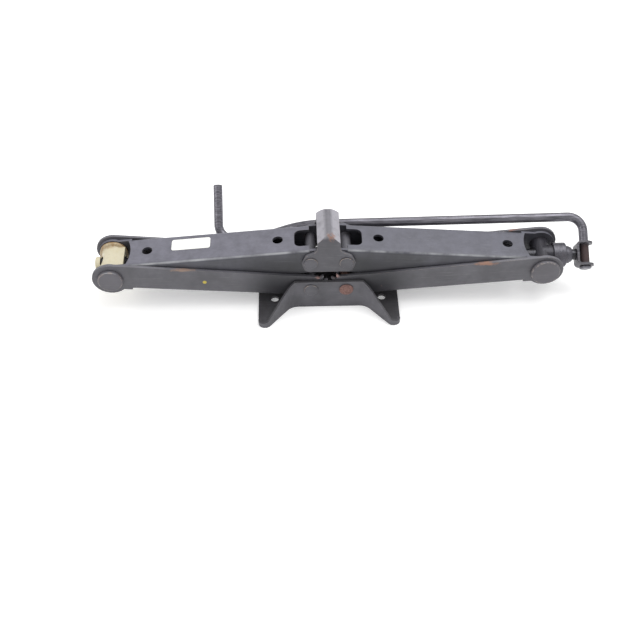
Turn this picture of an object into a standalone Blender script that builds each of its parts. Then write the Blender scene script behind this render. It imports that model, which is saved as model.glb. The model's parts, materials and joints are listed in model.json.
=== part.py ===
"""Scissor screw jack, folded flat, with its crank folded along its back.

Metres, +Z up, +X along the screw towards the crank fork. The origin is under the middle
of the foot, on the ground. The front of the jack faces -Y and the folded crank lies on +Y.
"""

import bpy
import bmesh
from math import acos, atan2, cos, pi, radians, sin, sqrt, tan
from mathutils import Matrix, Vector

MM = 0.001

# Linkage
ARM = 175 * MM  # between the two pivots of every arm
PIVOT_SPACING = 31 * MM  # between the two pivots of the foot, and of the head
FOLDED_ANGLE = radians(4.75)  # of every arm at rest
FOOT_PIVOT_Z = 21 * MM

# Sheet and running gaps
SHEET = 2.5 * MM
SIDE_GAP = 0.5 * MM  # between neighbouring side walls
FIT_GAP = 0.3 * MM  # between touching or turning pieces
UPPER_HALF_WIDTH = 17.3 * MM  # outside of an upper arm's walls
BEND_RADIUS = 3.5 * MM

# Lower arm, measured from the line through its pivots
LOWER_WEB_DEPTH = 11 * MM
LOWER_EAR_RADIUS = 16 * MM
LOWER_TOP_INNER = 13.2 * MM
LOWER_WEB_START = 16 * MM
LOWER_WEB_END_GAP = 19 * MM
LOWER_TOP_LEVEL = (0.03, 0.14)  # shares of the arm over which its top edge is level

# Upper arm
UPPER_WEB_HEIGHT = 12 * MM
UPPER_EAR_RADIUS = 13.5 * MM
UPPER_WALL_MIN_DEPTH = 5.5 * MM  # height of the side wall where it is lowest
UPPER_EDGE_THIN = (0.8, 0.86)  # shares of the arm between which its side wall is lowest
UPPER_EDGE_DEEP = 0.14  # share of the arm from which its side wall is deep
UPPER_DEPTH = 15 * MM  # of the wall there, below the line through the pivots
UPPER_WEB_END_GAP = 18.2 * MM
UPPER_WEB_END_SAG = 3 * MM
NOTCH_REACH = 13 * MM
NOTCH_HALF_WIDTH = 10.2 * MM
NOTCH_CORNER_RADIUS = 5 * MM
WEB_HOLE_RADIUS = 4.6 * MM
WEB_HOLE_PLACES = (27.5 * MM, 142 * MM)

# Meshing gear ends of the arms
TEETH = 18
PRESSURE_ANGLE = radians(20)
BACKLASH = 0.4 * MM
TOOTH_COUNT = 5  # teeth cut on each arm

# Foot
FOOT_HALF_LENGTH = 62.4 * MM
FOOT_HALF_DEPTH = 48.8 * MM
WAIST_HALF_LENGTH = 33 * MM
WAIST_BEND_RADIUS = 12 * MM
FOOT_SHOULDER_X = 30 * MM  # where the walls start to fall away
FOOT_TIP_X = 54 * MM  # where the walls have flared to their full depth
FOOT_TIP_TAPER = 1 * MM
FOOT_TIP_RADIUS = 5.5 * MM
FOOT_END_LIP = 7 * MM  # of the lip that turns round each tip's end
FOOT_END_THICKNESS = 3 * MM  # of the wall across each tip's end
FOOT_WALL_HEIGHT = 30 * MM
FOOT_LIP_HEIGHT = 6 * MM
FOOT_LIP_DROP = 2 * MM  # from there to the tip's end
FOOT_HOLE_RADIUS = 3.6 * MM
FOOT_HOLE_X = 48 * MM
FOOT_HOLE_Y = 15 * MM

# Head
HEAD_HALF_WIDTH = 10 * MM
HEAD_SIDE_HEIGHT = 22.5 * MM  # above the head's pivots
HEAD_RIDGE_RISE = 9 * MM
HEAD_LOBE_REACH = 8 * MM
HEAD_LOBE_HALF_HEIGHT = 10.3 * MM
HEAD_LOBE_TOP = 7.7 * MM
HEAD_LOBE_TAPER = 3.5 * MM
HEAD_LOBE_RADIUS = 5 * MM
HEAD_NECK_START = 12.8 * MM  # where the flange has narrowed to its neck
HEAD_BEND_RADIUS = 9 * MM  # where the ridge turns down at the front and back
HEAD_RIDGE_RADIUS = 3.5 * MM
HEAD_SHOULDER_RADIUS = 1 * MM

# Rivets through the foot and the head
RIVET_SHANK_RADIUS = 4.6 * MM
FOOT_RIVET_HEAD_RADIUS = 6.2 * MM
HEAD_RIVET_HEAD_RADIUS = 6.0 * MM
RIVET_HEAD_HEIGHT = 1.3 * MM

# Outer pivots
NUT_DISC_RADIUS = 11 * MM
BEARING_DISC_RADIUS = 12.8 * MM
DISC_THICKNESS = 3 * MM
PIVOT_SHANK_RADIUS = 5.7 * MM
SPIGOT_RADIUS = 4 * MM
SPIGOT_LENGTH = 5 * MM

# Screw, nut and thrust bearing
SCREW_RADIUS = 5.9 * MM
SCREW_TAIL = 13.2 * MM  # beyond the nut's pivot when folded
NUT_RADIUS = 8.3 * MM
SLEEVE_RADIUS = 10 * MM
SLEEVE_FLANGE_RADIUS = 12.6 * MM
SLEEVE_FLANGE = 2.6 * MM
SLEEVE_FLARE = 0.8 * MM  # widening of the spool towards a flange
SLEEVE_FLARE_KNEE = 0.9 * MM  # from the flange to the end of its steep part
SLEEVE_FLARE_LENGTH = 3 * MM
SLEEVE_BLOCK_REACH = 11 * MM  # of the sleeve's square side, from the nut's pivot
SLEEVE_BLOCK_HALF_HEIGHT = 9.2 * MM
END_CAP_RADIUS = 6.4 * MM
END_CAP_WALL = 1.2 * MM
TAIL_SPIGOT_RADIUS = 4 * MM
BEARING_BARREL_RADIUS = 8.5 * MM
BEARING_BOSS_RADIUS = 8.9 * MM
BEARING_BOSS_REACH = 13 * MM  # from the bearing's pivot
CUP_RADIUS = 10.9 * MM
CUP_START = 9.5 * MM
CUP_LENGTH = 11.5 * MM
CUP_WALL = 1.4 * MM
RACE_THICKNESS = 1.3 * MM
BALL_RADIUS = 1.3 * MM
BALL_COUNT = 10
COLLAR_RADIUS = 7.9 * MM
COLLAR_END = 26.4 * MM  # from the bearing's pivot
NECK_RADIUS = 4.8 * MM

# Fork and crank
FORK_SHEET = 2 * MM
FORK_BEND_RADIUS = 4 * MM
FORK_WEB_START = 30.5 * MM  # from the bearing's pivot
FORK_EAR_OFFSET = 9.9 * MM  # middle of an ear from the screw's axis
FORK_HALF_WIDTH = 7.5 * MM
FORK_LENGTH = 15.8 * MM
CRANK_LEG_X = 38.7 * MM  # from the bearing's pivot
CRANK_RADIUS = 4.1 * MM
CRANK_LEAN = radians(56)  # of the crank's leg, back from upright
CRANK_HEAD_GAP = 0.8 * MM  # between the shaft and the head's rivets
CRANK_DISC_GAP = 3 * MM  # between the low stretch and the outer pivots' discs
CRANK_SLANT = 2.3 * MM  # extra distance of the shaft from the screw's axis at the leg
CRANK_BEND_RADIUS = 13 * MM
CRANK_BEND_X = -22 * MM
CRANK_LOW_X = -62 * MM
CRANK_LOW_RISE = -1 * MM  # above the screw's axis
GRIP_X = -97.5 * MM
GRIP_LEAN = radians(46)
GRIP_LENGTH = 49 * MM
PEEN_RADIUS = 5.4 * MM
PEEN_HEIGHT = 2.4 * MM

# Blank label on the left upper arm
LABEL_LENGTH = 34 * MM
LABEL_WIDTH = 13.5 * MM
LABEL_THICKNESS = 0.2 * MM
LABEL_GAP = 0.1 * MM
LABEL_PLACE = 103.6 * MM
LABEL_OFFSET = 4 * MM

# Derived sizes
UPPER_INNER = UPPER_HALF_WIDTH - SHEET
LOWER_INNER = UPPER_HALF_WIDTH + SIDE_GAP
LOWER_HALF_WIDTH = LOWER_INNER + SHEET
FOOT_INNER = LOWER_HALF_WIDTH + SIDE_GAP
FOOT_OUTER = FOOT_INNER + SHEET
AXIS_Z = FOOT_PIVOT_Z + ARM * sin(FOLDED_ANGLE)
HEAD_PIVOT_Z = FOOT_PIVOT_Z + 2 * ARM * sin(FOLDED_ANGLE)
PIVOT_X = PIVOT_SPACING / 2
END_X = PIVOT_X + ARM * cos(FOLDED_ANGLE)
CRANK_HEAD_Y = LOWER_HALF_WIDTH + FIT_GAP + RIVET_HEAD_HEIGHT + CRANK_RADIUS + CRANK_HEAD_GAP
CRANK_OFFSET_LEFT = CRANK_HEAD_Y / sin(CRANK_LEAN)  # shaft from the screw's axis past the head
CRANK_OFFSET_RIGHT = CRANK_OFFSET_LEFT + CRANK_SLANT
CRANK_LOW_Y = LOWER_HALF_WIDTH + FIT_GAP + DISC_THICKNESS + CRANK_RADIUS + CRANK_DISC_GAP
GEAR_MODULE = PIVOT_SPACING / TEETH
GEAR_ROOT = PIVOT_SPACING / 2 - 1.2 * GEAR_MODULE
GEAR_TIP = PIVOT_SPACING / 2 + 0.95 * GEAR_MODULE
FAR = 0.4  # longer than any piece, for cutters


def clear_scene():
    for old in list(bpy.data.objects):
        bpy.data.objects.remove(old, do_unlink=True)


def new_collection(name):
    collection = bpy.data.collections.new(name)
    bpy.context.scene.collection.children.link(collection)
    return collection


def material(name, colour, roughness, metallic):
    """A Principled material with one colour."""
    finish = bpy.data.materials.new(name)
    finish.use_nodes = True
    shader = finish.node_tree.nodes["Principled BSDF"]
    shader.inputs["Base Color"].default_value = (*colour, 1)
    shader.inputs["Roughness"].default_value = roughness
    shader.inputs["Metallic"].default_value = metallic
    finish.diffuse_color = (*colour, 1)
    return finish


def closed_mesh(temporary, matrix):
    """Turns a curve or a modified object into a welded mesh, placed by matrix, and removes it."""
    bpy.context.view_layer.update()
    evaluated = temporary.evaluated_get(bpy.context.evaluated_depsgraph_get())
    mesh = bpy.data.meshes.new_from_object(evaluated)
    mesh.transform(matrix)
    shape = bmesh.new()
    shape.from_mesh(mesh)
    bmesh.ops.remove_doubles(shape, verts=shape.verts, dist=1e-6)
    bmesh.ops.dissolve_degenerate(shape, edges=shape.edges, dist=1e-7)
    bmesh.ops.recalc_face_normals(shape, faces=shape.faces)
    shape.to_mesh(mesh)
    shape.free()
    bpy.data.objects.remove(temporary, do_unlink=True)
    return mesh


def solid(name, mesh):
    body = bpy.data.objects.new(name, mesh)
    bpy.context.scene.collection.objects.link(body)
    return body


def prism(name, outline, low, high, matrix=Matrix()):
    """A flat outline in local XY, filled and extruded from low to high along Z, then placed."""
    curve = bpy.data.curves.new(name, "CURVE")
    curve.dimensions = "2D"
    curve.fill_mode = "BOTH"
    curve.extrude = (high - low) / 2
    spline = curve.splines.new("POLY")
    spline.points.add(len(outline) - 1)
    for point, (x, y) in zip(spline.points, outline):
        point.co = (x, y, 0, 1)
    spline.use_cyclic_u = True
    middle = Matrix.Translation((0, 0, (low + high) / 2))
    return solid(name, closed_mesh(solid(name, curve), matrix @ middle))


# An outline in XZ extruded along Y: local (x, y, z) goes to (x, -z, y).
UPRIGHT = Matrix.Rotation(pi / 2, 4, "X")
# An outline in YZ extruded along X: local (x, y, z) goes to (z, x, y).
ACROSS = Matrix(((0, 0, 1, 0), (1, 0, 0, 0), (0, 1, 0, 0), (0, 0, 0, 1)))


def turned(name, profile, matrix, closed=False, steps=24):
    """A profile of (radius, height) pairs spun about Z with a Screw modifier, then placed."""
    mesh = bpy.data.meshes.new(name)
    links = [(i, i + 1) for i in range(len(profile) - 1)]
    if closed:
        links.append((len(profile) - 1, 0))
    mesh.from_pydata([(radius, 0, height) for radius, height in profile], links, [])
    body = solid(name, mesh)
    screw = body.modifiers.new("Turn", "SCREW")
    screw.steps = steps
    screw.render_steps = steps
    screw.use_merge_vertices = True
    screw.merge_threshold = 1e-5
    return solid(name, closed_mesh(body, matrix))


def cylinder(name, radius, low, high, matrix, steps=24):
    """A plain turned cylinder along local Z."""
    return turned(name, [(0, high), (radius, high), (radius, low), (0, low)], matrix, steps=steps)


def tube(name, inner, outer, low, high, matrix, steps=24):
    """A plain turned ring along local Z."""
    profile = [(inner, high), (outer, high), (outer, low), (inner, low)]
    return turned(name, profile, matrix, closed=True, steps=steps)


def box(name, low, high):
    bpy.ops.mesh.primitive_cube_add(size=1)
    body = bpy.context.object
    body.name = name
    middle = (Vector(low) + Vector(high)) / 2
    span = Vector(high) - Vector(low)
    body.data.transform(Matrix.Translation(middle) @ Matrix.Diagonal((*span, 1)))
    return body


def combine(body, tool, operation):
    """Applies one Boolean with another solid, which is used up."""
    change = body.modifiers.new(operation, "BOOLEAN")
    change.operation = operation
    change.solver = "EXACT"
    change.object = tool
    bpy.context.view_layer.update()
    evaluated = body.evaluated_get(bpy.context.evaluated_depsgraph_get())
    result = bpy.data.meshes.new_from_object(evaluated)
    shape = bmesh.new()
    shape.from_mesh(result)
    bmesh.ops.remove_doubles(shape, verts=shape.verts, dist=2e-6)
    bmesh.ops.dissolve_degenerate(shape, edges=shape.edges, dist=1e-6)
    shape.to_mesh(result)
    shape.free()
    body.modifiers.clear()
    body.data = result
    bpy.data.objects.remove(tool, do_unlink=True)
    return body


def cut(body, *tools):
    for tool in tools:
        combine(body, tool, "DIFFERENCE")
    return body


def join(body, *tools):
    for tool in tools:
        combine(body, tool, "UNION")
    return body


def finish_piece(body, collection, finish, axis, sharp=35):
    """Gives a solid its material, shading and parent empty, keeping its place in the world."""
    body.data.materials.clear()
    body.data.materials.append(finish)
    body.data.shade_smooth()
    body.data.set_sharp_from_angle(angle=radians(sharp))
    for user in list(body.users_collection):
        user.objects.unlink(body)
    collection.objects.link(body)
    body.data.transform(axis.matrix_world.inverted())
    body.parent = axis
    return body


def axis_empty(name, place, collection, parent=None):
    """An empty on a joint's axis. Its children turn about it."""
    empty = bpy.data.objects.new(name, None)
    empty.empty_display_size = 0.02
    collection.objects.link(empty)
    if parent is not None:
        empty.parent = parent
        empty.matrix_parent_inverse = parent.matrix_world.inverted()
    empty.matrix_basis = Matrix.Translation(place)
    bpy.context.view_layer.update()
    return empty


def arc(centre, radius, start, end, steps):
    """Points on an arc, from the angle start to the angle end."""
    turn = (end - start) / steps
    return [
        (centre[0] + radius * cos(start + i * turn), centre[1] + radius * sin(start + i * turn))
        for i in range(steps + 1)
    ]


def rounded(corners, steps=5):
    """An outline whose corners are (x, y, radius), with each corner turned into an arc."""
    points = []
    count = len(corners)
    for i, (x, y, radius) in enumerate(corners):
        here = Vector((x, y))
        if radius == 0:
            points.append((x, y))
            continue
        back = (Vector(corners[i - 1][:2]) - here).normalized()
        ahead = (Vector(corners[(i + 1) % count][:2]) - here).normalized()
        half = acos(max(-1, min(1, back.dot(ahead)))) / 2
        centre = here + (back + ahead).normalized() * radius / sin(half)
        first = here + back * radius / tan(half) - centre
        last = here + ahead * radius / tan(half) - centre
        start = atan2(first.y, first.x)
        sweep = atan2(last.y, last.x) - start
        sweep = (sweep + pi) % (2 * pi) - pi
        points += arc(centre, radius, start, start + sweep, steps)
    return points


def inset(corners, distance):
    """The corners of an anticlockwise outline with every side moved inwards by a distance."""
    moved = []
    count = len(corners)
    for i, (x, y, radius) in enumerate(corners):
        here = Vector((x, y))
        back = (here - Vector(corners[i - 1][:2])).normalized()
        ahead = (Vector(corners[(i + 1) % count][:2]) - here).normalized()
        inward = Vector((-back.y - ahead.y, back.x + ahead.x))
        shift = inward * distance / (1 + back.dot(ahead))
        convex = back.x * ahead.y > back.y * ahead.x
        bend = max(0, radius - distance) if convex else radius + distance
        moved.append((x + shift.x, y + shift.y, bend))
    return moved


def mirrored(outline):
    """The outline turned over its X axis, run the other way to keep its facing."""
    return [(x, -y) for x, y in reversed(outline)]


def involute(angle):
    return tan(angle) - angle


def tooth_half_angle(radius):
    """Half the angle that a tooth fills at a radius, from its pitch thickness."""
    pitch_radius = PIVOT_SPACING / 2
    base_radius = pitch_radius * cos(PRESSURE_ANGLE)
    half = (pi * GEAR_MODULE / 2 - BACKLASH) / (2 * pitch_radius)
    here = acos(min(1, base_radius / max(radius, base_radius)))
    return half + involute(PRESSURE_ANGLE) - involute(here)


def gear_edge(first_tooth, start, end):
    """The toothed edge from the angle start up to end, with TOOTH_COUNT teeth from first_tooth."""
    base_radius = PIVOT_SPACING / 2 * cos(PRESSURE_ANGLE)
    radii = [GEAR_ROOT, base_radius, (base_radius + GEAR_TIP) / 2, GEAR_TIP]
    flank = [(radius, tooth_half_angle(radius)) for radius in radii]
    points = [(GEAR_ROOT * cos(start), GEAR_ROOT * sin(start))]
    for number in range(TOOTH_COUNT):
        middle = first_tooth + number * 2 * pi / TEETH
        for radius, half in flank:
            points.append((radius * cos(middle - half), radius * sin(middle - half)))
        for radius, half in reversed(flank):
            points.append((radius * cos(middle + half), radius * sin(middle + half)))
    points.append((GEAR_ROOT * cos(end), GEAR_ROOT * sin(end)))
    return points


def first_tooth_angle(tooth_faces_partner):
    """Lowest tooth on a lower arm. At rest the partner lies at 180 degrees less the folded angle."""
    step = 2 * pi / TEETH
    contact = pi - FOLDED_ANGLE
    first = contact - 3 * step
    return first if tooth_faces_partner else first + step / 2


def corner_cutter(name, half_width, bottom, start, end):
    """Rounds the two long outer edges of a channel whose web is at the height bottom."""
    radius = BEND_RADIUS
    over = 2 * MM
    centre = (half_width - radius, bottom + radius)
    outline = arc(centre, radius, -pi / 2, 0, 4)
    outline += [(half_width + over, bottom + radius), (half_width + over, bottom - over)]
    outline += [(half_width - radius, bottom - over)]
    other = [(-y, z) for y, z in reversed(outline)]
    return [prism(name, outline, start, end, ACROSS), prism(name, other, start, end, ACROSS)]


def pin_hole(name, x, radius):
    return cylinder(name, radius, -FAR, FAR, Matrix.Translation((x, 0, 0)) @ UPRIGHT)


def lower_arm(name, tooth_faces_partner):
    """A channel open at the top. Local X runs from the foot's pivot to the outer pivot."""
    bottom = -LOWER_WEB_DEPTH
    first = first_tooth_angle(tooth_faces_partner)
    gear_start = first - pi / TEETH
    gear_end = first + (2 * TOOTH_COUNT - 1) * pi / TEETH
    meet = 2 * pi - acos(-sqrt(1 - (bottom / GEAR_ROOT) ** 2))
    outline = gear_edge(first, gear_start, gear_end)
    outline += arc((0, 0), GEAR_ROOT, gear_end, meet, 4)[1:]
    ear_meet = acos(sqrt(1 - (bottom / LOWER_EAR_RADIUS) ** 2))
    outline += arc((ARM, 0), LOWER_EAR_RADIUS, pi + ear_meet, 2.5 * pi, 18)
    level_start, level_end = LOWER_TOP_LEVEL
    outline += [(level_end * ARM, LOWER_TOP_INNER), (level_start * ARM, LOWER_TOP_INNER)]
    body = prism(name, outline, -LOWER_HALF_WIDTH, LOWER_HALF_WIDTH, UPRIGHT)
    web_end = ARM - LOWER_WEB_END_GAP
    inside = box("channel", (-FAR, -LOWER_INNER, bottom + SHEET), (FAR, LOWER_INNER, FAR))
    inner_end = box("inner_end", (-FAR, -LOWER_INNER, -FAR), (LOWER_WEB_START, LOWER_INNER, 0))
    outer_end = box("outer_end", (web_end, -LOWER_INNER, -FAR), (FAR, LOWER_INNER, 0))
    cut(body, inside, inner_end, outer_end)
    cut(body, *corner_cutter("bend", LOWER_HALF_WIDTH, bottom, LOWER_WEB_START, web_end))
    cut(body, pin_hole("inner_hole", 0, RIVET_SHANK_RADIUS + FIT_GAP))
    return cut(body, pin_hole("outer_hole", ARM, PIVOT_SHANK_RADIUS + FIT_GAP))


def upper_arm(name, tooth_faces_partner):
    """A channel open below. Local X runs from the head's pivot to the outer pivot."""
    top = UPPER_WEB_HEIGHT
    first = first_tooth_angle(tooth_faces_partner)
    gear_start = first - pi / TEETH
    gear_end = first + (2 * TOOTH_COUNT - 1) * pi / TEETH
    # Drawn upside down, like a lower arm, and then turned over.
    meet = 2 * pi - acos(-sqrt(1 - (top / GEAR_ROOT) ** 2))
    outline = gear_edge(first, gear_start, gear_end)
    outline += arc((0, 0), GEAR_ROOT, gear_end, meet, 4)[1:]
    ear_meet = acos(sqrt(1 - (top / UPPER_EAR_RADIUS) ** 2))
    outline += arc((ARM, 0), UPPER_EAR_RADIUS, pi + ear_meet, 2.6 * pi, 16)
    thin = UPPER_WALL_MIN_DEPTH - top
    thin_start, thin_end = UPPER_EDGE_THIN
    outline += [(thin_end * ARM, thin), (thin_start * ARM, thin)]
    outline += [(UPPER_EDGE_DEEP * ARM, UPPER_DEPTH)]
    body = prism(name, mirrored(outline), -UPPER_HALF_WIDTH, UPPER_HALF_WIDTH, UPRIGHT)
    web_end = ARM - UPPER_WEB_END_GAP
    inside = box("channel", (-FAR, -UPPER_INNER, -FAR), (FAR, UPPER_INNER, top - SHEET))
    sag = UPPER_WEB_END_SAG
    sweep = (UPPER_INNER**2 + sag**2) / (2 * sag)
    turn = acos(1 - sag / sweep)
    end_outline = arc((web_end + sweep, 0), sweep, pi + turn, pi - turn, 8)
    end_outline += [(FAR, UPPER_INNER), (FAR, -UPPER_INNER)]
    outer_end = prism("outer_end", end_outline, 0, FAR)
    notch_corners = [
        (-FAR, -NOTCH_HALF_WIDTH, 0),
        (NOTCH_REACH, -NOTCH_HALF_WIDTH, NOTCH_CORNER_RADIUS),
        (NOTCH_REACH, NOTCH_HALF_WIDTH, NOTCH_CORNER_RADIUS),
        (-FAR, NOTCH_HALF_WIDTH, 0),
    ]
    notch = prism("notch", rounded(notch_corners), 0, FAR)
    cut(body, inside, outer_end, notch)
    tip = box("tip", (-FAR, -UPPER_INNER, 0), (0, UPPER_INNER, FAR))
    cut(body, tip)
    bends = corner_cutter("bend", UPPER_HALF_WIDTH, -top, 0, web_end)
    for tool in bends:
        tool.data.transform(Matrix.Rotation(pi, 4, "X"))
    cut(body, *bends)
    for place in WEB_HOLE_PLACES:
        hole = cylinder("web_hole", WEB_HOLE_RADIUS, 0, FAR, Matrix.Translation((place, 0, 0)), 20)
        cut(body, hole)
    cut(body, pin_hole("inner_hole", 0, RIVET_SHANK_RADIUS + FIT_GAP))
    return cut(body, pin_hole("outer_hole", ARM, PIVOT_SHANK_RADIUS + FIT_GAP))


def foot(name):
    """A stamped tray with a narrow waist. Its walls fall away towards four rounded feet."""
    quarter = [
        (WAIST_HALF_LENGTH, -FOOT_OUTER, WAIST_BEND_RADIUS),
        (FOOT_TIP_X, -FOOT_HALF_DEPTH, FOOT_TIP_RADIUS),
        (FOOT_HALF_LENGTH, -FOOT_HALF_DEPTH + FOOT_TIP_TAPER, FOOT_TIP_RADIUS),
    ]
    front = [(-x, y, r) for x, y, r in reversed(quarter)] + quarter
    corners = front + [(-x, -y, r) for x, y, r in front]
    tray = prism(name, rounded(corners, 4), 0, FOOT_WALL_HEIGHT)
    cut(tray, prism("cavity", rounded(inset(corners, SHEET), 4), SHEET, FAR))
    lip_end = FOOT_LIP_HEIGHT - FOOT_LIP_DROP
    for side in (-1, 1):
        slope = [
            (side * FOOT_SHOULDER_X, FAR),
            (side * FOOT_SHOULDER_X, FOOT_WALL_HEIGHT),
            (side * FOOT_TIP_X, FOOT_LIP_HEIGHT),
            (side * FOOT_HALF_LENGTH, lip_end),
            (side * FAR, lip_end),
            (side * FAR, FAR),
        ]
        cut(tray, prism("slope", slope, -FAR, FAR, UPRIGHT))
        ends = sorted((side * (FOOT_HALF_LENGTH - FOOT_END_THICKNESS), side * FAR))
        open_half = FOOT_HALF_DEPTH - FOOT_END_LIP
        cut(tray, box("open_end", (ends[0], -open_half, SHEET), (ends[1], open_half, FAR)))
        for depth in (-1, 1):
            place = Matrix.Translation((side * FOOT_HOLE_X, depth * FOOT_HOLE_Y, 0))
            cut(tray, cylinder("foot_hole", FOOT_HOLE_RADIUS, -FAR, FAR, place, 20))
        place = Matrix.Translation((side * PIVOT_X, 0, FOOT_PIVOT_Z)) @ UPRIGHT
        cut(tray, cylinder("rivet_hole", RIVET_SHANK_RADIUS + FIT_GAP, -FAR, FAR, place))
    return tray


def ridge_ends(name, half_width, radius):
    """Cutters that turn a roof down at its front and back, about centres a bend radius inside."""
    cutters = []
    depth = LOWER_HALF_WIDTH - HEAD_BEND_RADIUS
    height = HEAD_SIDE_HEIGHT + HEAD_RIDGE_RISE - HEAD_BEND_RADIUS
    lift = Matrix.Translation((0, 0, HEAD_PIVOT_Z))
    for side in (-1, 1):
        bend = arc((side * depth, height), radius, pi / 2, pi / 2 - side * pi / 2, 6)
        bend += [(side * 2 * half_width, height), (side * 2 * half_width, FAR), (side * depth, FAR)]
        cutters.append(prism(name, bend, -FAR, FAR, lift @ ACROSS))
    return cutters


def head(name):
    """A strip bent over the upper arms: two flanges and a narrow cap with a ridge along Y."""
    reach = PIVOT_X + HEAD_LOBE_REACH
    half = HEAD_HALF_WIDTH
    side_top = HEAD_SIDE_HEIGHT
    right = [
        (reach - HEAD_LOBE_TAPER, -HEAD_LOBE_HALF_HEIGHT, HEAD_LOBE_RADIUS),
        (reach, 0, HEAD_LOBE_RADIUS),
        (reach - HEAD_LOBE_TAPER, HEAD_LOBE_TOP, HEAD_LOBE_RADIUS - SHEET / 2),
        (half, HEAD_NECK_START, HEAD_LOBE_RADIUS),
        (half, side_top, HEAD_SHOULDER_RADIUS),
    ]
    left = [(-x, z, r) for x, z, r in reversed(right)]
    outline = rounded(right + [(0, side_top + HEAD_RIDGE_RISE, HEAD_RIDGE_RADIUS)] + left, 4)
    lift = Matrix.Translation((0, 0, HEAD_PIVOT_Z))
    body = prism(name, outline, -LOWER_HALF_WIDTH, LOWER_HALF_WIDTH, lift @ UPRIGHT)
    roof = side_top - SHEET
    wide = 3 * reach
    under = [(-wide, -FAR), (wide, -FAR), (wide, roof - HEAD_RIDGE_RISE * (wide / half - 1))]
    under += [(0, roof + HEAD_RIDGE_RISE), (-wide, roof - HEAD_RIDGE_RISE * (wide / half - 1))]
    cavity = prism("cavity", under, -LOWER_INNER, LOWER_INNER, lift @ UPRIGHT)
    cut(cavity, *ridge_ends("inner_bend", LOWER_HALF_WIDTH, HEAD_BEND_RADIUS - SHEET))
    cut(body, cavity, *ridge_ends("bend", LOWER_HALF_WIDTH, HEAD_BEND_RADIUS))
    for side in (-1, 1):
        place = Matrix.Translation((side * PIVOT_X, 0, HEAD_PIVOT_Z)) @ UPRIGHT
        cut(body, cylinder("rivet_hole", RIVET_SHANK_RADIUS + FIT_GAP, -FAR, FAR, place))
    return body


def through_rivet(name, x, z, wall_outside, head_radius):
    """A rivet across the whole jack, with a low domed head outside each wall."""
    under = wall_outside + FIT_GAP
    top = under + RIVET_HEAD_HEIGHT
    rim = under + 0.45 * RIVET_HEAD_HEIGHT
    upper = [(0, top), (0.55 * head_radius, top), (0.88 * head_radius, 0.6 * top + 0.4 * rim)]
    upper += [(head_radius, rim), (head_radius, under), (RIVET_SHANK_RADIUS, under)]
    profile = upper + [(radius, -height) for radius, height in reversed(upper)]
    return turned(name, profile, Matrix.Translation((x, 0, z)) @ UPRIGHT)


def disc_pivot(name, x, side, disc_radius):
    """An outer pivot: a flat disc outside both walls, a shank and a spigot in the trunnion."""
    under = LOWER_HALF_WIDTH + FIT_GAP
    top = under + DISC_THICKNESS
    chamfer = 0.7 * MM
    shank_end = UPPER_INNER + FIT_GAP
    profile = [(0, top), (disc_radius - chamfer, top), (disc_radius, top - chamfer)]
    profile += [(disc_radius, under), (PIVOT_SHANK_RADIUS, under), (PIVOT_SHANK_RADIUS, shank_end)]
    profile += [(SPIGOT_RADIUS, shank_end), (SPIGOT_RADIUS, shank_end - SPIGOT_LENGTH)]
    profile += [(0, shank_end - SPIGOT_LENGTH)]
    turn = Matrix.Rotation(-side * pi / 2, 4, "X")
    return turned(name, profile, Matrix.Translation((x, 0, AXIS_Z)) @ turn, steps=32)


def spigot_holes(x):
    depth = UPPER_INNER + FIT_GAP - SPIGOT_LENGTH - FIT_GAP
    place = Matrix.Translation((x, 0, AXIS_Z)) @ UPRIGHT
    radius = SPIGOT_RADIUS + FIT_GAP
    holes = [cylinder("spigot_hole", radius, depth, FAR, place, 24)]
    return holes + [cylinder("spigot_hole", radius, -FAR, -depth, place, 24)]


ALONG = Matrix.Rotation(pi / 2, 4, "Y")  # local Z goes to +X


def trunnion_length():
    return UPPER_INNER - FIT_GAP


def nut_trunnion(name):
    """The steel cross nut that the screw runs through."""
    half = trunnion_length()
    place = Matrix.Translation((-END_X, 0, AXIS_Z))
    body = cylinder(name, NUT_RADIUS, -half, half, place @ UPRIGHT, 28)
    bore = cylinder("bore", SCREW_RADIUS + FIT_GAP, -FAR, FAR, place @ ALONG)
    return cut(body, bore, *spigot_holes(-END_X))


def nut_sleeve(name):
    """A moulded spool around the nut, flanged next to both walls."""
    half = trunnion_length()
    inner = NUT_RADIUS + FIT_GAP
    flange = SLEEVE_FLANGE_RADIUS
    profile = [(inner, half), (flange, half), (flange, half - SLEEVE_FLANGE)]
    profile += [(SLEEVE_RADIUS + SLEEVE_FLARE, half - SLEEVE_FLANGE - SLEEVE_FLARE_KNEE)]
    profile += [(SLEEVE_RADIUS, half - SLEEVE_FLANGE - SLEEVE_FLARE_LENGTH)]
    profile += [(radius, -height) for radius, height in reversed(profile)]
    place = Matrix.Translation((-END_X, 0, AXIS_Z))
    body = turned(name, profile, place @ UPRIGHT, closed=True, steps=28)
    side = half - SLEEVE_FLANGE - FIT_GAP
    low = SLEEVE_BLOCK_HALF_HEIGHT
    block = box("block", (-END_X, -side, AXIS_Z - low), (-END_X + SLEEVE_BLOCK_REACH, side, AXIS_Z + low))
    # Its hollow is a little wider than the sleeve's, so that their walls overlap.
    cut(block, cylinder("around_nut", inner + FIT_GAP, -FAR, FAR, place @ UPRIGHT, 28))
    join(body, block)
    bore = cylinder("bore", SCREW_RADIUS + 2 * FIT_GAP, -FAR, FAR, place @ ALONG)
    return cut(body, bore)


def bearing_trunnion(name):
    """The cross block at the crank's end, with a boss that backs the thrust bearing."""
    half = trunnion_length()
    place = Matrix.Translation((END_X, 0, AXIS_Z))
    body = cylinder(name, BEARING_BARREL_RADIUS, -half, half, place @ UPRIGHT, 28)
    boss = cylinder("boss", BEARING_BOSS_RADIUS, 0, BEARING_BOSS_REACH, place @ ALONG, 28)
    join(body, boss)
    bore = cylinder("bore", SCREW_RADIUS + FIT_GAP, -FAR, FAR, place @ ALONG)
    return cut(body, bore, *spigot_holes(END_X))


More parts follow.
